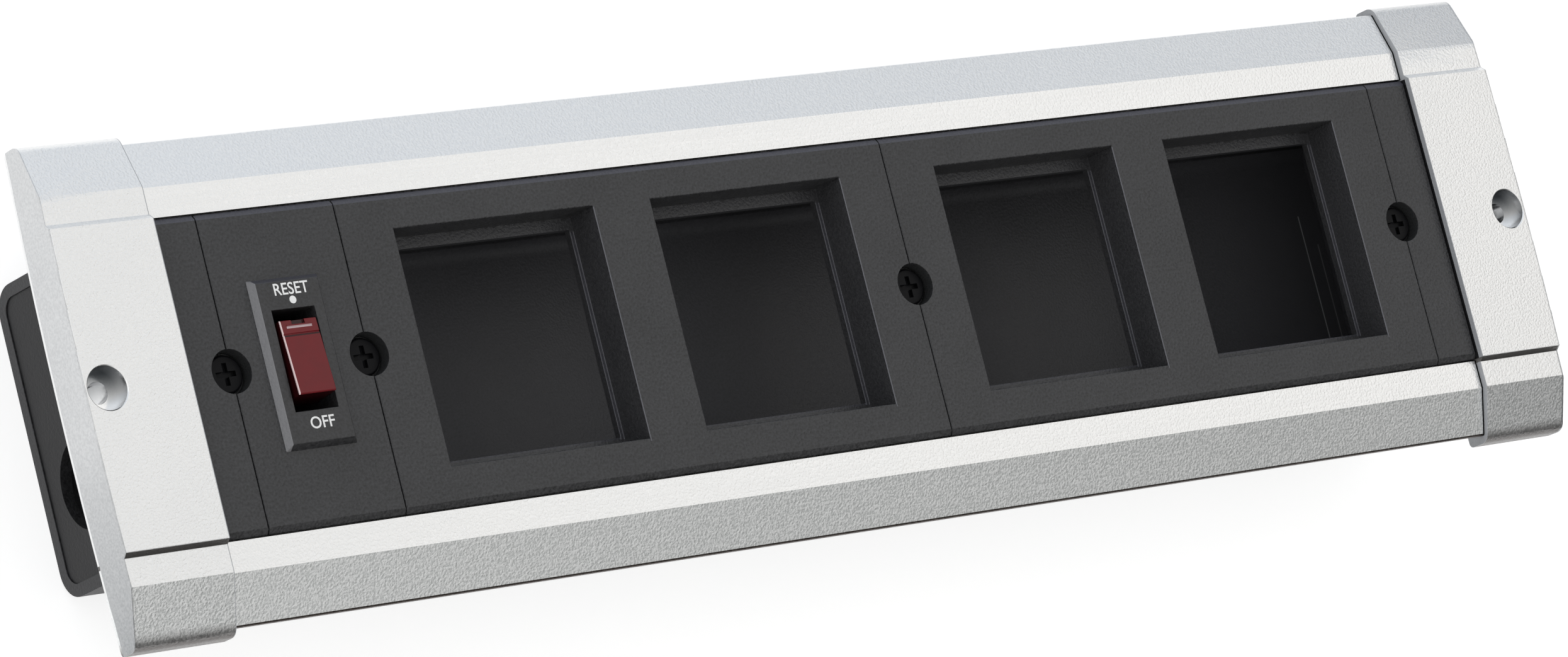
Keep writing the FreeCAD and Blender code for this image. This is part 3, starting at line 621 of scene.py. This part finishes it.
def rounded(node, arris):
    """A piece in a node's shape, its sharp edges rounded by the arris width."""
    piece = bpy.data.objects.new("dressed_" + node, merged(node, arris > 0))
    bpy.context.scene.collection.objects.link(piece)
    if arris > 0:
        bevel = piece.modifiers.new("arris", "BEVEL")
        bevel.width = arris
        bevel.segments = 2
        bevel.limit_method = "ANGLE"
        bevel.angle_limit = sharp_angle
        bevel.harden_normals = False
        bevel.use_clamp_overlap = True
        facing = piece.modifiers.new("facing", "WEIGHTED_NORMAL")
        facing.mode = "FACE_AREA"
        facing.weight = 90
        facing.keep_sharp = True
    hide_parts(node)
    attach(piece, "rocker" if node == "breaker_rocker" else "frame")


arrises = {
    "rail_rear": rail_arris,
    "rail_front": rail_arris,
    "end_cap_left": cap_arris,
    "end_cap_right": cap_arris,
    "filler_strip_left": plate_arris,
    "filler_strip_right": plate_arris,
    "breaker_plate": plate_arris,
    "window_plate_left": plate_arris,
    "window_plate_right": plate_arris,
    "plate_screws": small_arris,
    "breaker_housing": bezel_arris,
    "breaker_rocker": rocker_arris,
    "rear_case": case_arris,
    "case_end_left": 0,
    "case_end_right": 0,
    "case_screws": small_arris,
    "cap_screws": small_arris,
}
for node, arris in arrises.items():
    rounded(node, arris)
for node, thing in frame["nodes"].items():
    if node not in arrises:
        thing.data.materials.clear()
        thing.data.materials.append(finish_of(node).material)


# Print on the bezel

def printed(name, mesh, middle, size):
    """Lays a flat mesh on the bezel, stretched to its printed width and height."""
    low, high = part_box("breaker_housing")
    centre = (low + high) / 2
    points = [vertex.co for vertex in mesh.vertices]
    left, right = min(point.x for point in points), max(point.x for point in points)
    foot, top = min(point.y for point in points), max(point.y for point in points)
    home = Matrix.Translation((-(left + right) / 2, -(foot + top) / 2, 0))
    grow = Matrix.Diagonal((size.x / (right - left), size.y / (top - foot), 1, 1))
    there = Matrix.Translation((centre.x + middle.x, centre.y + middle.y, high.z + print_lift))
    mesh.transform(there @ grow @ home)
    mesh.materials.append(ink.material)
    piece = bpy.data.objects.new(name, mesh)
    bpy.context.scene.collection.objects.link(piece)
    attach(piece, "frame")


def word_mesh(name, word):
    """A word as a thin flat mesh."""
    text = bpy.data.curves.new(name, "FONT")
    text.body = word
    text.extrude = print_lift
    text.offset = print_weight
    text.resolution_u = 4
    holder = bpy.data.objects.new(name, text)
    mesh = bpy.data.meshes.new_from_object(holder)
    bpy.data.objects.remove(holder)
    return mesh


def dot_mesh():
    """The round mark under the upper word."""
    shape = bmesh.new()
    bmesh.ops.create_circle(shape, cap_ends=True, segments=32, radius=1)
    top = bmesh.ops.extrude_face_region(shape, geom=shape.faces[:])
    raised = [item for item in top["geom"] if isinstance(item, bmesh.types.BMVert)]
    bmesh.ops.translate(shape, vec=(0, 0, print_lift), verts=raised)
    bmesh.ops.recalc_face_normals(shape, faces=shape.faces)
    mesh = bpy.data.meshes.new("reset_dot")
    shape.to_mesh(mesh)
    shape.free()
    return mesh


printed("reset_word", word_mesh("reset_word", "RESET"), reset_word_middle, reset_word_size)
printed("off_word", word_mesh("off_word", "OFF"), off_word_middle, off_word_size)
printed("reset_dot", dot_mesh(), dot_middle, dot_size)


# Stage

def pale_floor():
    """A pale floor that keeps the object's shadow and shows white past it."""
    low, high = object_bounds()
    shape = bmesh.new()
    bmesh.ops.create_grid(shape, x_segments=1, y_segments=1, size=floor_reach)
    bmesh.ops.translate(shape, vec=(0, 0, low.z - floor_gap), verts=shape.verts)
    mesh = bpy.data.meshes.new("floor")
    shape.to_mesh(mesh)
    shape.free()
    floor = bpy.data.objects.new("floor", mesh)
    bpy.context.scene.collection.objects.link(floor)
    finish = Finish("floor", (floor_grey,) * 3, roughness=0.8, Emission_Strength=1.0)
    finish.feed("Emission Color", finish.mix(finish.seen(), (0, 0, 0), (floor_glow,) * 3))
    mesh.materials.append(finish.material)


def softbox(name, place, width, length, power, colour=(1, 1, 1)):
    """A rectangular area lamp turned to the middle of the module."""
    lamp = bpy.data.lights.new(name, "AREA")
    lamp.shape = "RECTANGLE"
    lamp.size = width
    lamp.size_y = length
    lamp.energy = power
    lamp.color = colour
    holder = bpy.data.objects.new(name, lamp)
    bpy.context.scene.collection.objects.link(holder)
    holder.location = place
    holder.rotation_euler = (-Vector(place)).to_track_quat("-Z", "Y").to_euler()
    holder.visible_camera = False


def studio():
    """Pale surroundings that darken past the plain end and the OFF side, and two softboxes."""
    world = bpy.data.worlds.new("studio")
    bpy.context.scene.world = world
    world.use_nodes = True
    room = Nodes(world.node_tree)
    direction = room.add("TexCoord", {}, {}, "Generated")
    towards = room.add("VectorMath", {"operation": "DOT_PRODUCT"}, {0: direction, 1: bright_side}, "Value")
    sideways = room.add("SeparateXYZ", {}, {"Vector": direction}, "Y")
    pale = room.mix(room.spread(sideways, cool_from, cool_to), room_light, room_cool)
    light = room.mix(room.spread(towards, bright_from, bright_to), room_shade, pale)
    world.node_tree.links.new(light.socket, world.node_tree.nodes["Background"].inputs["Color"])
    softbox("key", (1.4, 0.28, 1.4), width=1.1, length=1.1, power=1.9, colour=(1.0, 0.96, 0.91))
    softbox("low side", (-1.5, 0.24, 0.40), width=1.2, length=0.8, power=0.8)


def photo_camera():
    """The camera of the photograph."""
    camera = bpy.data.cameras.new("camera")
    camera.sensor_width = camera_sensor
    camera.lens = camera_lens
    camera.clip_start = camera_nearest
    camera.clip_end = camera_furthest
    holder = bpy.data.objects.new("camera", camera)
    bpy.context.scene.collection.objects.link(holder)
    turn, rise = math.radians(camera_azimuth), math.radians(camera_elevation)
    back = Vector((math.sin(turn) * math.cos(rise), -math.cos(turn) * math.cos(rise), math.sin(rise)))
    upright = (-back).to_track_quat("-Z", "Y").to_matrix()
    rolled = upright @ Matrix.Rotation(math.radians(camera_roll), 3, "Z")
    holder.matrix_world = Matrix.Translation(camera_aim + back * camera_distance) @ rolled.to_4x4()
    bpy.context.scene.camera = holder


pale_floor()
studio()
photo_camera()
bpy.context.scene.view_settings.view_transform = "Standard"
